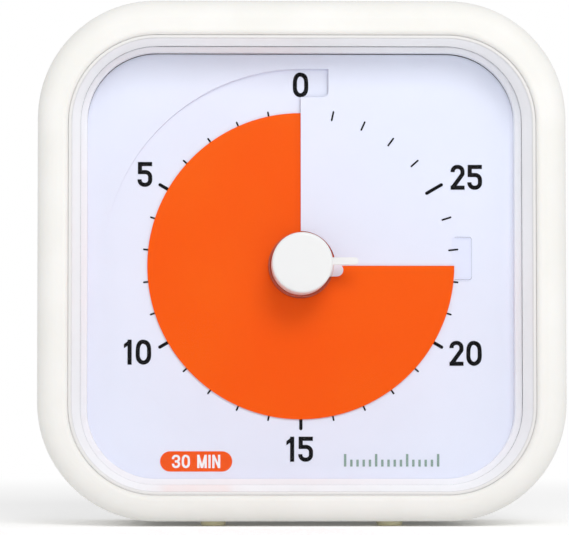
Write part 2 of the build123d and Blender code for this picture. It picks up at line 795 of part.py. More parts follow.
with BuildPart() as movement_case:
    with BuildSketch(facing(case_floor)):
        with Locations((movement_x, movement_z)):
            RectangleRounded(movement_width, movement_height, movement_radius)
    extrude(amount=case_floor - cover_back)
    with BuildSketch(facing(case_floor - movement_wall)):
        with Locations((movement_x, movement_z)):
            RectangleRounded(movement_width - 2 * movement_wall, movement_height - 2 * movement_wall,
                             movement_radius - movement_wall)
    extrude(amount=case_floor - cover_back - movement_wall, mode=Mode.SUBTRACT)
    # bearings
    with BuildSketch(facing(case_floor)):
        Circle(pivot_radius + bearing_wall)
        with Locations(*[train[name] for name in ("third", "second", "rotor")]):
            Circle(arbor_radius + bearing_wall)
    extrude(amount=movement_wall + bearing_height)
    with BuildSketch(facing(case_floor - movement_wall)):
        Circle(pivot_radius + bearing_clearance)
        with Locations(*[train[name] for name in ("third", "second", "rotor")]):
            Circle(arbor_radius + bearing_clearance)
    extrude(amount=bearing_height, mode=Mode.SUBTRACT)
    # posts that the stator stands on
    with BuildSketch(facing(case_floor - movement_wall)):
        with Locations(*stator_posts):
            Circle(post_radius)
    extrude(amount=case_floor - movement_wall - stator_setback - stator_thickness)
    # screw ears
    with BuildSketch(facing(carrier_back + ear_setback + ear_thickness)):
        with Locations(*movement_screw_spots):
            Circle(boss_radius)
        for spot in movement_screw_spots:
            side = 1 if spot[0] > movement_x else -1
            edge = movement_x + side * movement_width / 2
            with Locations(((spot[0] + edge) / 2, spot[1])):
                Rectangle(abs(spot[0] - edge), 2 * boss_radius)
        with Locations(*movement_screw_spots):
            Circle(screw_radius + screw_clearance, mode=Mode.SUBTRACT)
    extrude(amount=ear_thickness)
save(movement_case.part, "movement_case")


def arbor(spot, radius, front, back):
    """Solid of a thin turned pivot between two setbacks."""
    with BuildPart() as pin:
        with BuildSketch(facing(back)):
            with Locations(spot):
                Circle(radius)
        extrude(amount=back - front)
    return pin.part


def wheel(spot, teeth, phase, layer, thickness):
    """Toothed disc on a layer of the train, placed by its front face."""
    with BuildPart() as disc:
        with BuildSketch(facing(layers[layer] + thickness)):
            with Locations(spot):
                add(gear(teeth, phase))
        extrude(amount=thickness)
    return disc.part


pin_front = carrier_back + movement_wall - pivot_length
pin_back = case_floor - movement_wall - pivot_clearance

with BuildPart() as output_wheel:
    add(wheel((0, 0), wheel_teeth, phases["output"], 0, wheel_thickness))
    add(arbor((0, 0), spindle_radius + wheel_hub_wall, layers[0], layers[0] + wheel_thickness))
    add(arbor((0, 0), spindle_radius, layers[0], layers[0] + wheel_thickness), mode=Mode.SUBTRACT)
save(output_wheel.part, "output_wheel")

with BuildPart() as spindle:
    add(arbor((0, 0), spindle_radius, knob_back - spindle_in_knob, layers[0] + wheel_thickness))
    add(arbor((0, 0), pivot_radius, layers[0] + wheel_thickness, pin_back))
save(spindle.part, "spindle")

with BuildPart() as third_wheel:
    add(wheel(third_spot, wheel_teeth, phases["third"], 1, wheel_thickness))
    add(wheel(third_spot, drive_pinion_teeth, phases["third_pinion"], 0, layers[1] - layers[0]))
    add(arbor(third_spot, arbor_radius, pin_front, pin_back))
save(third_wheel.part, "third_wheel")

with BuildPart() as second_wheel:
    add(wheel(second_spot, wheel_teeth, phases["second"], 2, wheel_thickness))
    add(wheel(second_spot, pinion_teeth, phases["second_pinion"], 1, layers[2] - layers[1]))
    add(arbor(second_spot, arbor_radius, pin_front, pin_back))
save(second_wheel.part, "second_wheel")

with BuildPart() as rotor:
    add(wheel(rotor_spot, pinion_teeth, phases["rotor_pinion"], 2, layers[3] - layers[2]))
    add(arbor(rotor_spot, magnet_radius, layers[3], layers[3] + magnet_length))
    add(arbor(rotor_spot, arbor_radius, pin_front, pin_back))
save(rotor.part, "rotor")

core_spot = (rotor_spot[0], rotor_spot[1] - core_drop)
leg_x = (stator_width - stator_leg) / 2

with BuildPart() as stator:
    with BuildSketch(facing(stator_setback + stator_thickness)):
        with Locations(rotor_spot):
            Rectangle(stator_width, stator_height)
            with Locations((-leg_x, 0), (leg_x, 0)):
                Rectangle(stator_leg, core_drop + core_width / 2, align=(Align.CENTER, Align.MAX))
            with Locations((0, -core_drop)):
                Rectangle(stator_width, core_width)
            Circle(magnet_radius + magnet_gap, mode=Mode.SUBTRACT)
    extrude(amount=stator_thickness)
save(stator.part, "stator")

with BuildPart() as coil:
    coil_end = (core_spot[0] - coil_length / 2, front_y + stator_setback + stator_thickness / 2,
                axis_height + core_spot[1])
    with BuildSketch(Plane(origin=coil_end, x_dir=(0, 1, 0), z_dir=(1, 0, 0))):
        RectangleRounded(coil_size, coil_size, coil_corner)
        Rectangle(stator_thickness + 2 * coil_fit, core_width + 2 * coil_fit, mode=Mode.SUBTRACT)
    extrude(amount=coil_length)
save(coil.part, "coil")

with BuildPart() as movement_screws:
    for spot in movement_screw_spots:
        seat = carrier_back + ear_setback + ear_thickness
        add(arbor(spot, screw_head_radius, seat, seat + screw_head_height))
        add(arbor(spot, screw_radius - spindle_clearance, seat - ear_thickness - ear_setback, seat))
save(movement_screws.part, "movement_screws")

# ---------------------------------------------------------------- rear case and what it holds
with BuildPart() as rear_case:
    add(block)
    with BuildSketch(facing(panel_back, case_middle)):
        RectangleRounded(back_opening[0] - 2 * stack_clearance, back_opening[1] - 2 * stack_clearance,
                         back_radius - stack_clearance)
    extrude(amount=panel_back - case_back + case_wall / 2)
    with BuildSketch(facing(parting_setback, case_middle)):
        Rectangle(body_width, body_height)
    extrude(amount=parting_setback, mode=Mode.SUBTRACT)
    with BuildSketch(facing(panel_front, case_middle)):
        RectangleRounded(cavity_width, cavity_height, cavity_radius)
    extrude(amount=panel_front - parting_setback, mode=Mode.SUBTRACT)
    # tongue inside the front case
    with BuildSketch(facing(parting_setback + case_wall, case_middle)):
        RectangleRounded(cavity_width + 0.02, cavity_height + 0.02, cavity_radius + 0.01)
        RectangleRounded(cavity_width - case_wall, cavity_height - case_wall, cavity_radius - case_wall / 2,
                         mode=Mode.SUBTRACT)
    extrude(amount=case_wall)
    with BuildSketch(facing(parting_setback, case_middle)):
        RectangleRounded(cavity_width - 2 * bearing_clearance, cavity_height - 2 * bearing_clearance,
                         cavity_radius - bearing_clearance)
        RectangleRounded(cavity_width - case_wall, cavity_height - case_wall, cavity_radius - case_wall / 2,
                         mode=Mode.SUBTRACT)
    extrude(amount=tongue_length)
    # battery bay and the ledge of its door
    bay_middle = (0, -cell_drop)
    with BuildSketch(facing(panel_front)):
        with Locations(bay_middle):
            Rectangle(2 * (bay_half + bay_wall), 2 * (bay_room + bay_wall))
    extrude(amount=panel_front - bay_front + bay_wall)
    with BuildSketch(facing(panel_back)):
        with Locations(bay_middle):
            Rectangle(2 * bay_half, 2 * bay_room)
    extrude(amount=panel_back - bay_front, mode=Mode.SUBTRACT)
    with BuildSketch(facing(panel_back)):
        with Locations(bay_middle):
            RectangleRounded(2 * (bay_half + door_ledge), 2 * (bay_room + door_ledge), door_corner)
    extrude(amount=door_thickness, mode=Mode.SUBTRACT)
    # notches that let the leads out of the bay
    with BuildSketch(facing(lead_setback + 3 * lead_radius)):
        for side in (-1, 1):
            with Locations((side * lead_x, -cell_drop + bay_room)):
                Rectangle(4 * lead_radius, 4 * bay_wall)
    extrude(amount=6 * lead_radius, mode=Mode.SUBTRACT)
    # screw tubes
    with BuildSketch(facing(panel_front)):
        with Locations(*case_screw_spots):
            Circle(boss_radius + tube_wall)
    extrude(amount=panel_front - boss_back)
    with BuildSketch(facing(panel_back)):
        with Locations(*case_screw_spots):
            Circle(screw_radius + screw_clearance)
    extrude(amount=panel_back - boss_back, mode=Mode.SUBTRACT)
    with BuildSketch(facing(panel_back)):
        with Locations(*case_screw_spots):
            Circle(screw_head_radius + head_clearance)
    extrude(amount=panel_back - head_seat, mode=Mode.SUBTRACT)
    # posts for the circuit board
    with BuildSketch(facing(panel_front)):
        with Locations(*board_screw_spots):
            Circle(boss_radius)
    extrude(amount=panel_front - board_back)
    with BuildSketch(facing(board_back + board_screw_length + screw_clearance)):
        with Locations(*board_screw_spots):
            Circle(screw_radius)
    extrude(amount=board_screw_length + screw_clearance, mode=Mode.SUBTRACT)
    # sound holes
    with BuildSketch(facing(panel_back)):
        with Locations((buzzer_x, board_rise)):
            Circle(sound_hole_radius)
            with PolarLocations(sound_hole_ring, sound_hole_count):
                Circle(sound_hole_radius)
    extrude(amount=back_wall, mode=Mode.SUBTRACT)
    # thumb recess and slot of the sound switch
    with BuildSketch(facing(panel_back)):
        with Locations((switch_x, board_rise)):
            RectangleRounded(slider_head[0] + switch_travel + 2 * thumb_margin, slider_head[1] + 2 * thumb_margin,
                             thumb_corner)
    extrude(amount=thumb_recess, mode=Mode.SUBTRACT)
    with BuildSketch(facing(panel_back)):
        with Locations((switch_x, board_rise)):
            Rectangle(slider_stem + switch_travel + 2 * slider_gap, slider_stem + 2 * slider_gap)
    extrude(amount=back_wall, mode=Mode.SUBTRACT)
save(rear_case.part, "rear_case")

with BuildPart() as battery_door:
    with BuildSketch(facing(panel_back)):
        with Locations(bay_middle):
            RectangleRounded(2 * (bay_half + door_ledge - door_gap), 2 * (bay_room + door_ledge - door_gap),
                             door_corner - door_gap)
    extrude(amount=door_thickness)
    # finger dimple with grip grooves at the top edge
    with BuildSketch(facing(panel_back)):
        for groove in range(groove_count):
            with Locations((0, -cell_drop + bay_room - groove_edge - groove_pitch * groove)):
                SlotOverall(groove_length - groove_taper * groove, groove_width)
    extrude(amount=groove_depth, mode=Mode.SUBTRACT)
save(battery_door.part, "battery_door")

with BuildPart() as case_screws:
    for spot in case_screw_spots:
        add(arbor(spot, screw_head_radius, head_seat, head_seat + screw_head_height))
        add(arbor(spot, screw_radius - spindle_clearance, boss_back - screw_length + screw_spare, head_seat))
    with BuildSketch(facing(head_seat + screw_head_height)):
        for spot in case_screw_spots:
            with Locations(spot):
                Rectangle(drive_length, drive_width)
                Rectangle(drive_width, drive_length)
    extrude(amount=drive_depth, mode=Mode.SUBTRACT)
save(case_screws.part, "case_screws")

cell_left = cell_x - (cell_length + cell_nub_length) / 2
cell_axis = (front_y + cell_setback, axis_height - cell_drop)
with BuildPart() as battery_cell:
    with BuildSketch(Plane(origin=(cell_left, *cell_axis), x_dir=(0, 1, 0), z_dir=(1, 0, 0))):
        Circle(cell_radius)
    extrude(amount=cell_length)
    fillet(battery_cell.edges(), cell_edge)
    with BuildSketch(Plane(origin=(cell_left + cell_length, *cell_axis), x_dir=(0, 1, 0), z_dir=(1, 0, 0))):
        Circle(cell_nub_radius)
    extrude(amount=cell_nub_length)
save(battery_cell.part, "battery_cell")


def contact_plate(wall_x):
    """Sheet contact standing on one end wall of the bay, inside, by its lower x."""
    middle = (wall_x, front_y + cell_setback - contact_shift, axis_height - cell_drop + contact_rise)
    with BuildPart() as plate:
        with BuildSketch(Plane(origin=middle, x_dir=(0, 1, 0), z_dir=(1, 0, 0))):
            Rectangle(contact_width, 2 * (bay_room - contact_margin))
        extrude(amount=contact_sheet)
    return plate.part


with BuildPart() as positive_contact:
    add(contact_plate(bay_half - contact_sheet))
save(positive_contact.part, "positive_contact")

with BuildPart() as spring_coil:
    with BuildLine() as coil_path:
        Helix(pitch=(bay_end - contact_sheet) / spring_turns, height=bay_end - contact_sheet - 2 * spring_wire,
              radius=spring_radius)
    with BuildSketch(Plane(origin=coil_path.line @ 0, z_dir=coil_path.line % 0)):
        Circle(spring_wire)
    sweep(path=coil_path.line, is_frenet=True)
spring_place = Location((-bay_half + contact_sheet + spring_seat, front_y + cell_setback,
                         axis_height - cell_drop), (0, 90, 0))
with BuildPart() as negative_spring:
    add(contact_plate(-bay_half))
    add(spring_place * spring_coil.part)
save(negative_spring.part, "negative_spring")

with BuildPart() as circuit_board:
    with BuildSketch(facing(board_back)):
        with Locations((0, board_rise)):
            RectangleRounded(board_width, board_height, board_corner)
        with Locations(*board_screw_spots):
            Circle(screw_radius + screw_clearance, mode=Mode.SUBTRACT)
    extrude(amount=board_thickness)
save(circuit_board.part, "circuit_board")

with BuildPart() as board_screws:
    for spot in board_screw_spots:
        add(arbor(spot, screw_head_radius, board_setback - screw_head_height, board_setback))
        add(arbor(spot, screw_radius - spindle_clearance, board_setback, board_back + board_screw_length))
save(board_screws.part, "board_screws")

with BuildPart() as buzzer:
    with BuildSketch(facing(board_back + buzzer_height)):
        with Locations((buzzer_x, board_rise)):
            Circle(buzzer_radius)
    extrude(amount=buzzer_height)
    with BuildSketch(facing(board_back + buzzer_height)):
        with Locations((buzzer_x, board_rise)):
            Circle(buzzer_port[0])
    extrude(amount=buzzer_port[1], mode=Mode.SUBTRACT)
save(buzzer.part, "buzzer")

with BuildPart() as quartz_crystal:
    with BuildSketch(Plane(origin=(-crystal_length / 2, front_y + board_setback - crystal_radius,
                                   axis_height + board_rise), x_dir=(0, 1, 0), z_dir=(1, 0, 0))):
        Circle(crystal_radius)
    extrude(amount=crystal_length)
save(quartz_crystal.part, "quartz_crystal")

slider_foot = board_back + switch_body[2]
with BuildPart() as sound_switch:
    with BuildSketch(facing(slider_foot)):
        with Locations((switch_x, board_rise)):
            Rectangle(switch_body[0], switch_body[1])
    extrude(amount=switch_body[2])
save(sound_switch.part, "sound_switch")

slider_x = switch_x - switch_travel / 2
recess_floor = panel_back - thumb_recess
with BuildPart() as sound_slider:
    with BuildSketch(facing(recess_floor + slider_gap)):
        with Locations((slider_x, board_rise)):
            Rectangle(slider_stem, slider_stem)
    extrude(amount=recess_floor - slider_foot)
    with BuildSketch(facing(panel_back)):
        with Locations((slider_x, board_rise)):
            RectangleRounded(*slider_head, head_corner)
    extrude(amount=thumb_recess - slider_gap)
    with BuildSketch(facing(panel_back)):
        for rib in (-rib_pitch, 0, rib_pitch):
            with Locations((slider_x + rib, board_rise)):
                Rectangle(rib_groove[0], slider_head[1])
    extrude(amount=rib_groove[1], mode=Mode.SUBTRACT)
save(sound_slider.part, "sound_slider")

for side, name in ((-1, "lead_black"), (1, "lead_red")):
    route = [(side * x, front_y + back, axis_height + z) for x, back, z in lead_route]
    with BuildPart() as lead:
        with BuildLine() as lead_path:
            FilletPolyline(*route, radius=lead_radii)
        with BuildSketch(Plane(origin=lead_path.line @ 0, z_dir=lead_path.line % 0)):
            Circle(lead_radius)
        sweep(path=lead_path.line)
    save(lead.part, name)
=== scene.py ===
import bmesh
import bpy
import math
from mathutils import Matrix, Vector


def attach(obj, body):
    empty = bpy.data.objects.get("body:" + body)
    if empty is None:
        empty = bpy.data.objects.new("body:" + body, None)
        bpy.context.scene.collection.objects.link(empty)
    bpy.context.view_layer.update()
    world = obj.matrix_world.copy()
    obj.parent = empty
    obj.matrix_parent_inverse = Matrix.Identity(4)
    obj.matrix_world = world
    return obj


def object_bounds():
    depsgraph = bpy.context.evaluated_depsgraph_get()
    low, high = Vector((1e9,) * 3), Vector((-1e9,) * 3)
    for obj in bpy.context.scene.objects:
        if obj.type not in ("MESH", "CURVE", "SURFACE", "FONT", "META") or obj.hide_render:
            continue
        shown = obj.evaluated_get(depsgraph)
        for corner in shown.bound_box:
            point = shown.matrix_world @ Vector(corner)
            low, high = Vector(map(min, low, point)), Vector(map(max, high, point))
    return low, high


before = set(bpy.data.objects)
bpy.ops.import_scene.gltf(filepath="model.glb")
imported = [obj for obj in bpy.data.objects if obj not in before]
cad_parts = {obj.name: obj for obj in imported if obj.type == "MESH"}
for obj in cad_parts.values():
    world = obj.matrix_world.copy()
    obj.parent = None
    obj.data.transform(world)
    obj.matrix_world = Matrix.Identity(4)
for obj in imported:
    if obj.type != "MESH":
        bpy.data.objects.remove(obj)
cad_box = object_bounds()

# Sizes in metres, as in the construction
MM = 0.001
FRONT = cad_box[0][1]        # front of the silicone sleeve
AXIS = 45.66 * MM            # height of the knob's axis over the table
DIAL = FRONT + 10.3 * MM     # front of the dial's sheet
LENS = FRONT + 6.2 * MM      # front of the lens
LENS_SHEET = 1.2 * MM
LENS_HOLE = 5.65 * MM        # radius
SCREW_PITCH = 0.9 * MM       # the dial and the film disc sink by this much in a turn
FILM_FRONT = -0.35 * MM      # the film's face, from the dial's
JOINT_PAINTED_SHADE = (FRONT + 1.1 * MM, FRONT + 1.7 * MM)    # painted shade on the case's front rim by the sleeve: full down to the first depth, gone at the second
PARTING_LINE = 0.12 * MM     # half the width of the line that the sleeve's mould leaves
CELL_HALF = 26 * MM          # half the length of the battery cell's jacket
WAVE_PERIOD = 0.314          # of Blender's wave texture at a scale of 1


# ---------------------------------------------------------------- small tools
def linear(hex_colour):
    """Linear RGBA of an sRGB hex colour."""
    values = [int(hex_colour[i:i + 2], 16) / 255 for i in (0, 2, 4)]
    return [v / 12.92 if v <= 0.04045 else ((v + 0.055) / 1.055) ** 2.4 for v in values] + [1.0]


def add_node(material, kind, links=None, **settings):
    """One shader node with its settings and inputs. A link is a socket, anything else a value."""
    tree = material.node_tree
    node = tree.nodes.new(kind)
    for key, value in settings.items():
        setattr(node, key, value)
    for key, value in (links or {}).items():
        socket = node.inputs[key]
        if isinstance(value, bpy.types.NodeSocket):
            tree.links.new(value, socket)
        else:
            socket.default_value = value
    return node


def wire(material, source, target):
    material.node_tree.links.new(source, target)


def new_material(name):
    """Node material: the material, its Principled shader, its output and its Object coordinates."""
    material = bpy.data.materials.new(name)
    material.use_nodes = True
    material.node_tree.nodes.clear()
    output = add_node(material, "ShaderNodeOutputMaterial")
    shader = add_node(material, "ShaderNodeBsdfPrincipled")
    place = add_node(material, "ShaderNodeTexCoord").outputs["Object"]
    wire(material, shader.outputs["BSDF"], output.inputs["Surface"])
    return material, shader, output, place


def mottle(material, shader, place, colours, size, bump, grain, rough):
    """Gives a shader slow colour changes of a size in metres, and a grain with relief and uneven gloss."""
    cloud = add_node(material, "ShaderNodeTexNoise", {"Vector": place, "Scale": 1 / size, "Detail": 3.0})
    ramp = add_node(material, "ShaderNodeValToRGB", {"Fac": cloud.outputs["Fac"]})
    for stop, position, colour in zip(ramp.color_ramp.elements, (0.35, 0.65), colours):
        stop.position = position
        stop.color = linear(colour)
    wire(material, ramp.outputs["Color"], shader.inputs["Base Color"])
    noise = add_node(material, "ShaderNodeTexNoise", {"Vector": place, "Scale": 1 / grain, "Detail": 2.0})
    gloss = add_node(material, "ShaderNodeMapRange", {
        "Value": noise.outputs["Fac"], "From Min": 0.3, "From Max": 0.7,
        "To Min": rough[0], "To Max": rough[1]})
    wire(material, gloss.outputs["Result"], shader.inputs["Roughness"])
    relief = add_node(material, "ShaderNodeBump", {
        "Height": noise.outputs["Fac"], "Strength": bump, "Distance": 0.02 * MM})
    wire(material, relief.outputs["Normal"], shader.inputs["Normal"])


# ---------------------------------------------------------------- materials
def silicone_rubber(name, colours, translucency):
    """Moulded silicone rubber: a warm satin skin that softens shadows a little.
    The two halves of its mould meet in a hair line round the middle."""
    material, shader, _, place = new_material(name)
    mottle(material, shader, place, colours, 9 * MM, bump=0.25, grain=0.16 * MM, rough=(0.5, 0.62))
    skin = shader.inputs["Normal"].links[0].from_socket
    depth = add_node(material, "ShaderNodeSeparateXYZ", {"Vector": place}).outputs["Y"]
    away = add_node(material, "ShaderNodeMath", {0: depth}, operation="ABSOLUTE").outputs["Value"]
    seam = add_node(material, "ShaderNodeMapRange", {
        "Value": away, "From Min": 0.0, "From Max": PARTING_LINE, "To Min": 1.0, "To Max": 0.0})
    line = add_node(material, "ShaderNodeBump", {
        "Height": seam.outputs["Result"], "Strength": 0.5, "Distance": 0.08 * MM, "Normal": skin})
    wire(material, line.outputs["Normal"], shader.inputs["Normal"])
    shader.inputs["IOR"].default_value = 1.42
    shader.inputs["Specular IOR Level"].default_value = 0.4
    shader.inputs["Subsurface Weight"].default_value = translucency
    shader.inputs["Subsurface Radius"].default_value = (1.0, 0.85, 0.7)
    shader.inputs["Subsurface Scale"].default_value = 0.8 * MM
    shader.inputs["Sheen Weight"].default_value = 0.06
    shader.inputs["Sheen Roughness"].default_value = 0.5
    return material


def moulded_plastic(name, colours, rough, grain=0.2 * MM, bump=0.18, coat=0.0, painted_shade=None):
    """Injection moulded plastic: even colour, the mould's fine spark texture and a soft sheen. A painted
    shade of a given colour may darken the case's rim along its joint with the sleeve, which draws a soft line
    there."""
    material, shader, _, place = new_material(name)
    mottle(material, shader, place, colours, 14 * MM, bump=bump, grain=grain, rough=rough)
    shader.inputs["IOR"].default_value = 1.52
    shader.inputs["Coat Weight"].default_value = coat
    shader.inputs["Coat Roughness"].default_value = 0.12
    # painted shade: a darker colour on the case's front rim, by the joint with the sleeve
    if painted_shade:
        plain = shader.inputs["Base Color"].links[0].from_socket
        depth = add_node(material, "ShaderNodeSeparateXYZ", {"Vector": place}).outputs["Y"]
        fade = add_node(material, "ShaderNodeMapRange", {
            "Value": depth, "From Min": JOINT_PAINTED_SHADE[0], "From Max": JOINT_PAINTED_SHADE[1],
            "To Min": 1.0, "To Max": 0.0})
        shaded_rim = add_node(material, "ShaderNodeMixRGB", {
            "Fac": fade.outputs["Result"], "Color1": plain, "Color2": linear(painted_shade)})
        wire(material, shaded_rim.outputs["Color"], shader.inputs["Base Color"])
    return material


def printed_ink(name, colours):
    """Screen printing ink: dense, slightly uneven and a little matt against the smooth sheet."""
    material, shader, _, place = new_material(name)
    mottle(material, shader, place, colours, 1.2 * MM, bump=0.15, grain=0.09 * MM, rough=(0.5, 0.62))
    shader.inputs["Specular IOR Level"].default_value = 0.08
    return material


def dyed_film(name, colours, tint, clearness):
    """Dyed polyester film: saturated and smooth, with a faint ghost of the print behind it."""
    material, shader, output, place = new_material(name)
    mottle(material, shader, place, colours, 22 * MM, bump=0.06, grain=3 * MM, rough=(0.34, 0.4))
    shader.inputs["IOR"].default_value = 1.57
    shader.inputs["Specular IOR Level"].default_value = 0.06
    through = add_node(material, "ShaderNodeBsdfTransparent", {"Color": linear(tint)})
    mix = add_node(material, "ShaderNodeMixShader", {
        0: clearness, 1: shader.outputs["BSDF"], 2: through.outputs["BSDF"]})
    wire(material, mix.outputs["Shader"], output.inputs["Surface"])
    return material


def clear_sheet(name, blend, rough):
    """Clear acrylic or polyester sheet: it mirrors more towards its edges, where its tint gathers."""
    material, shader, output, place = new_material(name)
    shader.inputs["Base Color"].default_value = linear("FFFFFF")
    shader.inputs["Metallic"].default_value = 1.0
    noise = add_node(material, "ShaderNodeTexNoise", {"Vector": place, "Scale": 1 / (25 * MM), "Detail": 2.0})
    polish = add_node(material, "ShaderNodeMapRange", {
        "Value": noise.outputs["Fac"], "From Min": 0.3, "From Max": 0.7,
        "To Min": rough, "To Max": 1.6 * rough})
    wire(material, polish.outputs["Result"], shader.inputs["Roughness"])
    mirror = add_node(material, "ShaderNodeLayerWeight", {"Blend": blend}).outputs["Fresnel"]
    clear = add_node(material, "ShaderNodeBsdfTransparent", {"Color": linear("FEFEFF")})
    mix = add_node(material, "ShaderNodeMixShader", {
        0: mirror, 1: clear.outputs["BSDF"], 2: shader.outputs["BSDF"]})
    wire(material, mix.outputs["Shader"], output.inputs["Surface"])
    return material


def cut_edge(name, tint, body):
    """Sawn or punched edge of a clear sheet: it gathers light, so it shows as a pale hair line."""
    material, shader, output, place = new_material(name)
    colours = ("F4F4F6", "FFFFFF")
    mottle(material, shader, place, colours, 1.5 * MM, bump=0.2, grain=0.1 * MM, rough=(0.2, 0.4))
    clear = add_node(material, "ShaderNodeBsdfTransparent", {"Color": linear(tint)})
    mix = add_node(material, "ShaderNodeMixShader", {
        0: body, 1: clear.outputs["BSDF"], 2: shader.outputs["BSDF"]})
    wire(material, mix.outputs["Shader"], output.inputs["Surface"])
    return material


def worked_metal(name, colours, rough, lines=None, pitch=None):
    """Bare or plated metal with patchy polish. Windings or laminations may run across an axis as fine
    ridges, a pitch in metres apart."""
    material, shader, _, place = new_material(name)
    mottle(material, shader, place, colours, 2.5 * MM, bump=0.2, grain=0.12 * MM, rough=rough)
    shader.inputs["Metallic"].default_value = 1.0
    if lines:
        ridges = add_node(material, "ShaderNodeTexWave", {"Vector": place, "Scale": WAVE_PERIOD / pitch},
                          bands_direction=lines)
        relief = add_node(material, "ShaderNodeBump", {
            "Height": ridges.outputs["Fac"], "Strength": 0.8, "Distance": 0.05 * MM})
        wire(material, relief.outputs["Normal"], shader.inputs["Normal"])
    return material


def solder_mask(name):
    """Glass fibre board under green solder mask, with the weave showing through as a fine check."""
    material, shader, _, place = new_material(name)
    weave = add_node(material, "ShaderNodeTexChecker", {
        "Vector": place, "Scale": 1 / (0.6 * MM), "Color1": linear("1E5F35"), "Color2": linear("1A5530")})
    wire(material, weave.outputs["Color"], shader.inputs["Base Color"])
    noise = add_node(material, "ShaderNodeTexNoise", {"Vector": place, "Scale": 1 / (0.4 * MM)})
    gloss = add_node(material, "ShaderNodeMapRange", {
        "Value": noise.outputs["Fac"], "To Min": 0.25, "To Max": 0.4})
    wire(material, gloss.outputs["Result"], shader.inputs["Roughness"])
    return material


def cell_jacket(name):
    """Printed shrink film of a battery: dark jacket with a copper-coloured band at the plus end."""
    material, shader, _, place = new_material(name)
    along = add_node(material, "ShaderNodeSeparateXYZ", {"Vector": place}).outputs["X"]
    share = add_node(material, "ShaderNodeMapRange", {
        "Value": along, "From Min": -CELL_HALF, "From Max": CELL_HALF}).outputs["Result"]
    bands = add_node(material, "ShaderNodeValToRGB", {"Fac": share})
    bands.color_ramp.interpolation = "CONSTANT"
    steel, jacket, copper = linear("C9CACC"), linear("2B2E33"), linear("B8713C")
    stops = bands.color_ramp.elements
    stops[0].color = steel
    stops[1].position = 0.03
    stops[1].color = jacket
    stops.new(0.72).color = copper
    stops.new(0.96).color = steel
    wire(material, bands.outputs["Color"], shader.inputs["Base Color"])
    noise = add_node(material, "ShaderNodeTexNoise", {"Vector": place, "Scale": 1 / (1.5 * MM)})
    gloss = add_node(material, "ShaderNodeMapRange", {
        "Value": noise.outputs["Fac"], "To Min": 0.2, "To Max": 0.35})
    wire(material, gloss.outputs["Result"], shader.inputs["Roughness"])
    return material


finishes = {
    "sleeve_silicone": silicone_rubber("sleeve_silicone", ("ECEBE7", "EFEEEB"), 0.15),
    "foot_silicone": silicone_rubber("foot_silicone", ("DED8B8", "E6E0C2"), 0.4),
    # the case's colour carries a painted shade along its front rim by the sleeve
    "case_abs": moulded_plastic("case_abs", ("F9F9F9", "FCFCFC"), (0.32, 0.4), coat=0.03, painted_shade="E2E1E0"),
    "bezel_abs": moulded_plastic("bezel_abs", ("FBFDFD", "FDFEFE"), (0.28, 0.34), coat=0.05),
    "lens_acrylic": clear_sheet("lens_acrylic", 0.1, 0.03),
    "dial_sheet": moulded_plastic("dial_sheet", ("E6EBF8", "E8EDFA"), (0.42, 0.5), 0.35 * MM, bump=0.06),
    "black_ink": printed_ink("black_ink", ("0A0A0C", "0E0E11")),
    "orange_ink": printed_ink("orange_ink", ("F4581A", "F65E20")),
    "white_ink": printed_ink("white_ink", ("F4F4F4", "FAFAFA")),
    "green_ink": printed_ink("green_ink", ("8CA69A", "93ACA0")),
    "orange_film": dyed_film("orange_film", ("FF5D02", "FF6305"), "FC9A28", 0.08),
    "tab_film": clear_sheet("tab_film", 0.08, 0.1),
    # the hub's dark red-brown is partly painted shade for the shaded gap round the knob, over the hub's own
    # colour
    "hub_acetal": moulded_plastic("hub_acetal", ("A83608", "B23C0B"), (0.3, 0.4)),
    "milky_polypropylene": moulded_plastic("milky_polypropylene", ("E6E4EC", "ECEAF2"), (0.35, 0.45)),
    "knob_abs": moulded_plastic("knob_abs", ("E4E5E6", "E7E8E8"), (0.34, 0.42), coat=0.05),
    "turned_steel": worked_metal("turned_steel", ("B4B4B6", "C6C6C8"), (0.22, 0.4)),
    "gear_acetal": moulded_plastic("gear_acetal", ("DCD9CB", "E4E1D4"), (0.35, 0.5)),
    "movement_abs": moulded_plastic("movement_abs", ("1C1C1F", "242427"), (0.4, 0.5)),
    "core_steel": worked_metal("core_steel", ("86868A", "96969A"), (0.35, 0.5), "Y", 0.4 * MM),
    "copper_wire": worked_metal("copper_wire", ("B4622E", "C87A40"), (0.25, 0.4), "X", 0.22 * MM),
    "solder_mask": solder_mask("solder_mask"),
    "black_abs": moulded_plastic("black_abs", ("17171A", "1E1E21"), (0.35, 0.45)),
    "nickel_plate": worked_metal("nickel_plate", ("C8C6BE", "D6D4CC"), (0.15, 0.3)),
    "cell_jacket": cell_jacket("cell_jacket"),
    "red_pvc": moulded_plastic("red_pvc", ("B01818", "BC2020"), (0.35, 0.45)),
    "black_pvc": moulded_plastic("black_pvc", ("141414", "1A1A1A"), (0.35, 0.45)),
    "lens_edge": cut_edge("lens_edge", "FFF4EE", 0.07),
    "tab_edge": cut_edge("tab_edge", "B9BECB", 0.25),
    "lens_rim": cut_edge("lens_rim", "FFFFFF", 0.85),
}
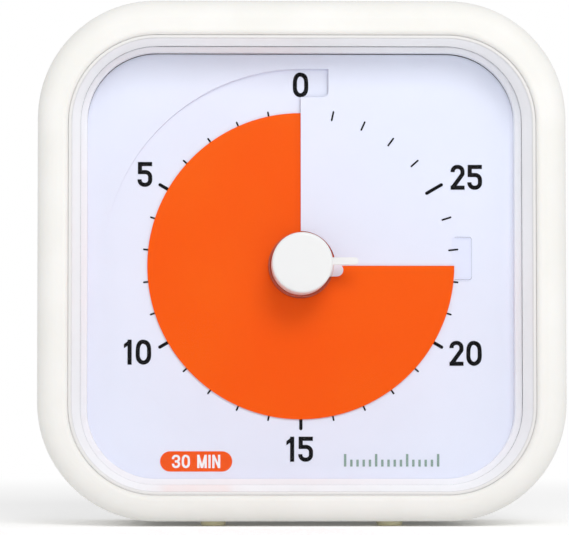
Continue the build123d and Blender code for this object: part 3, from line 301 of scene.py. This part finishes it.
node_finish = {
    "sleeve": "sleeve_silicone", "feet": "foot_silicone", "front_case": "case_abs", "rear_case": "case_abs",
    "inner_bezel": "bezel_abs", "lens": "lens_acrylic", "dial": "dial_sheet", "dial_ticks": "black_ink",
    "dial_numerals": "black_ink", "range_badge": "orange_ink", "badge_lettering": "white_ink",
    "dial_scale": "green_ink", "time_disc": "orange_film", "disc_tab": "tab_film", "disc_hub": "hub_acetal",
    "hub_washer": "milky_polypropylene", "knob": "knob_abs", "spindle": "turned_steel",
    "output_wheel": "gear_acetal", "third_wheel": "gear_acetal", "second_wheel": "gear_acetal",
    "rotor": "gear_acetal", "dial_carrier": "case_abs", "movement_cover": "movement_abs",
    "movement_case": "movement_abs", "movement_screws": "turned_steel", "stator": "core_steel",
    "coil": "copper_wire", "circuit_board": "solder_mask", "board_screws": "turned_steel",
    "quartz_crystal": "nickel_plate", "buzzer": "black_abs", "sound_switch": "nickel_plate",
    "sound_slider": "black_abs", "battery_cell": "cell_jacket", "positive_contact": "nickel_plate",
    "negative_spring": "nickel_plate", "battery_door": "case_abs", "case_screws": "turned_steel",
    "lead_red": "red_pvc", "lead_black": "black_pvc",
}
for node_name, finish in node_finish.items():
    for material_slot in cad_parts[node_name].material_slots:
        material_slot.material = finishes[finish]


# ---------------------------------------------------------------- fine pieces
def add_piece(name, mesh, finish, body):
    """Makes an object of a bmesh, with its finish, riding on a body."""
    data = bpy.data.meshes.new(name)
    bmesh.ops.recalc_face_normals(mesh, faces=mesh.faces)
    mesh.to_mesh(data)
    mesh.free()
    data.materials.append(finishes[finish])
    piece = bpy.data.objects.new(name, data)
    bpy.context.scene.collection.objects.link(piece)
    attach(piece, body)


def corner_arcs(width, height, middle, corner, starts):
    """Places (x, z) along the round corners of a rectangle, each named by the angle its arc starts at."""
    path = []
    for start in starts:
        side = 1 if start in (0, 270) else -1
        up = 1 if start < 180 else -1
        for step in range(19):
            angle = math.radians(start + 5 * step)
            path.append((side * (width / 2 - corner) + corner * math.cos(angle),
                         middle + up * (height / 2 - corner) + corner * math.sin(angle)))
    return path


def ribbon(rows, closed=False):
    """Strip along rows of two places each, of two sheets that lie on each other and face both ways."""
    strip = bmesh.new()
    pairs = [[strip.verts.new(place) for place in row] for row in rows]
    nexts = pairs[1:] + pairs[:1] if closed else pairs[1:]
    faces = [strip.faces.new((a[0], a[1], b[1], b[0])) for a, b in zip(pairs, nexts)]
    bmesh.ops.solidify(strip, geom=faces, thickness=0.0)
    return strip


def lens_edge():
    """Polished wall of the hole that the knob comes through, with its two broken corners."""
    wall, corner = 0.05 * MM, 0.03 * MM
    inner, outer = LENS_HOLE - wall, LENS_HOLE + wall
    front, back = LENS - corner, LENS + LENS_SHEET + corner
    profile = [(inner, front + corner), (inner + corner, front), (outer, front), (outer, back),
               (inner + corner, back), (inner, back - corner)]
    ring = bmesh.new()
    corners = [ring.verts.new((radius, y, AXIS)) for radius, y in profile]
    for first, second in zip(corners, corners[1:] + corners[:1]):
        ring.edges.new((first, second))
    bmesh.ops.spin(ring, geom=ring.verts[:] + ring.edges[:], cent=(0, 0, AXIS), axis=(0, 1, 0),
                   angle=math.tau, steps=96, use_merge=True)
    add_piece("lens_hole_edge", ring, "lens_edge", "case")


def lens_rim():
    """Outer edge of the lens where it slips behind the case: the acrylic gathers light there."""
    clearance = 0.06 * MM
    front, back = LENS + clearance, LENS + LENS_SHEET - clearance
    path = corner_arcs(77.4 * MM, 76.9 * MM, AXIS - 0.1 * MM, 13.4 * MM, (0, 90, 180, 270))
    band = ribbon([((x, front, z), (x, back, z)) for x, z in path], closed=True)
    add_piece("lens_rim", band, "lens_rim", "case")


def tab_edge():
    """Punched edge of the film's clear tab, a hair line round its three free sides. It follows the
    film's screw surface."""
    left, right, above, below, corner = 27.15 * MM, 30.2 * MM, 5.1 * MM, 2.5 * MM, 0.5 * MM
    line, ahead = 0.1 * MM, 0.02 * MM

    def on_film(x, z):
        turn = 0.25 - math.atan2(z, x) / math.tau
        return x, DIAL + FILM_FRONT + SCREW_PITCH * turn - ahead, AXIS + z

    path = [(left, above)]
    for z, start in ((above - corner, 90), (corner - below, 0)):
        for step in range(7):
            angle = math.radians(start - 15 * step)
            path.append((right - corner + corner * math.cos(angle), z + corner * math.sin(angle)))
    path.append((left, -below))
    middle = Vector(((left + right) / 2, (above - below) / 2))
    rows = []
    for spot in map(Vector, path):
        inside = spot + (middle - spot).normalized() * line
        rows.append((on_film(*spot), on_film(*inside)))
    add_piece("tab_edge", ribbon(rows), "tab_edge", "disc")


def dial_painted_shadow():
    """Painted shadow: a dark strip on the dial's upper edge, under the inner bezel, where the bezel's wall
    shades it; widest at the top, nothing at the sides.
    """
    y, shadow_band = DIAL - 0.08 * MM, 0.13 * MM
    path = corner_arcs(75.3 * MM, 75.1 * MM, AXIS, 12.2 * MM, (0, 90))
    strip = ribbon([((x, y, z), (x, y, z - shadow_band)) for x, z in path])
    # the black finish on this strip is painted shadow, not a part of the timer
    add_piece("dial_painted_shadow", strip, "black_abs", "case")


lens_edge()
lens_rim()
tab_edge()
dial_painted_shadow()


# ---------------------------------------------------------------- stage, light and camera
def area_light(name, place, target, size, power):
    """Soft rectangular lamp that points at a target."""
    lamp = bpy.data.lights.new(name, "AREA")
    lamp.shape = "RECTANGLE"
    lamp.size, lamp.size_y = size
    lamp.energy = power
    holder = bpy.data.objects.new(name, lamp)
    holder.location = place
    holder.rotation_mode = "QUATERNION"
    holder.rotation_quaternion = (Vector(target) - Vector(place)).to_track_quat("-Z", "Y")
    bpy.context.scene.collection.objects.link(holder)


def white_floor():
    """Matt white board, lifted to white for the camera, that keeps the timer's shadow and throws a
    little light up at its underside. Far off it is plain white, so that no horizon shows."""
    material, shader, output, place = new_material("white_board")
    shader.inputs["Base Color"].default_value = linear("F2F2F2")
    shader.inputs["Roughness"].default_value = 0.9
    board_light = shader.outputs["BSDF"]
    away = add_node(material, "ShaderNodeVectorMath", {0: place}, operation="LENGTH").outputs["Value"]

    # what the camera sees
    lift = add_node(material, "ShaderNodeBsdfDiffuse", {"Color": (0.24, 0.24, 0.24, 1.0)})
    haze = add_node(material, "ShaderNodeEmission", {"Strength": 0.015})
    raised = add_node(material, "ShaderNodeAddShader", {0: lift.outputs["BSDF"], 1: haze.outputs["Emission"]})
    near = add_node(material, "ShaderNodeAddShader", {0: board_light, 1: raised.outputs["Shader"]})
    white = add_node(material, "ShaderNodeEmission", {"Strength": 1.0})
    far = add_node(material, "ShaderNodeMapRange", {"Value": away, "From Min": 0.12, "From Max": 0.5},
                   interpolation_type="SMOOTHSTEP")
    shown = add_node(material, "ShaderNodeMixShader", {
        0: far.outputs["Result"], 1: near.outputs["Shader"], 2: white.outputs["Emission"]})

    # what lights the timer
    strength = add_node(material, "ShaderNodeMapRange", {
        "Value": away, "From Min": 0.035, "From Max": 0.075, "To Min": 0.05, "To Max": 0.14},
                        interpolation_type="SMOOTHSTEP")
    glow = add_node(material, "ShaderNodeEmission", {"Strength": strength.outputs["Result"]})
    lit = add_node(material, "ShaderNodeAddShader", {0: board_light, 1: glow.outputs["Emission"]})

    seen = add_node(material, "ShaderNodeLightPath").outputs["Is Camera Ray"]
    mix = add_node(material, "ShaderNodeMixShader", {
        0: seen, 1: lit.outputs["Shader"], 2: shown.outputs["Shader"]})
    wire(material, mix.outputs["Shader"], output.inputs["Surface"])

    mesh = bpy.data.meshes.new("floor")
    board = bmesh.new()
    bmesh.ops.create_grid(board, x_segments=1, y_segments=1, size=6.0)
    board.to_mesh(mesh)
    board.free()
    mesh.materials.append(material)
    floor = bpy.data.objects.new("floor", mesh)
    bpy.context.scene.collection.objects.link(floor)


def studio_world(light, white):
    """White all round: one strength lights the timer, the other shows past it and through the lens."""
    world = bpy.data.worlds.new("studio")
    bpy.context.scene.world = world
    world.use_nodes = True
    nodes, links = world.node_tree.nodes, world.node_tree.links
    nodes.clear()
    output = nodes.new("ShaderNodeOutputWorld")
    mix = nodes.new("ShaderNodeMixShader")
    for socket, strength in ((1, light), (2, white)):
        shade = nodes.new("ShaderNodeBackground")
        shade.inputs["Color"].default_value = (1.0, 1.0, 1.0, 1.0)
        shade.inputs["Strength"].default_value = strength
        links.new(shade.outputs["Background"], mix.inputs[socket])
    path = nodes.new("ShaderNodeLightPath")
    either = nodes.new("ShaderNodeMath")
    either.operation = "MAXIMUM"
    links.new(path.outputs["Is Camera Ray"], either.inputs[0])
    links.new(path.outputs["Is Transmission Ray"], either.inputs[1])
    links.new(either.outputs["Value"], mix.inputs[0])
    links.new(mix.outputs["Shader"], output.inputs["Surface"])


def studio_camera():
    """Long lens a little left of the knob's axis and below it, almost square to the dial."""
    distance = 470 * MM
    pitch, yaw = math.radians(92.163), math.radians(-0.763)
    camera = bpy.data.cameras.new("camera")
    camera.sensor_width = 36.0
    camera.lens = 172.5
    camera.shift_x = 0.055
    camera.shift_y = 0.1055
    camera.clip_start, camera.clip_end = 0.01, 20.0
    holder = bpy.data.objects.new("camera", camera)
    holder.location = (-14.8 * MM, FRONT - distance, 16.6 * MM)
    holder.rotation_euler = (pitch, 0, yaw)
    bpy.context.scene.collection.objects.link(holder)
    bpy.context.scene.camera = holder


bpy.context.scene.view_settings.view_transform = "Standard"
# Enough bounces for the light to reach the dial through the lens and round the recess
bpy.context.scene.cycles.transparent_max_bounces = 32
bpy.context.scene.cycles.max_bounces = 14
bpy.context.scene.cycles.diffuse_bounces = 8
white_floor()
studio_world(light=0.7, white=1.0)
area_light("key_above", place=(0.08, -0.49, 0.33), target=(0, -0.01, 0.045), size=(0.26, 0.22), power=1.1)
studio_camera()
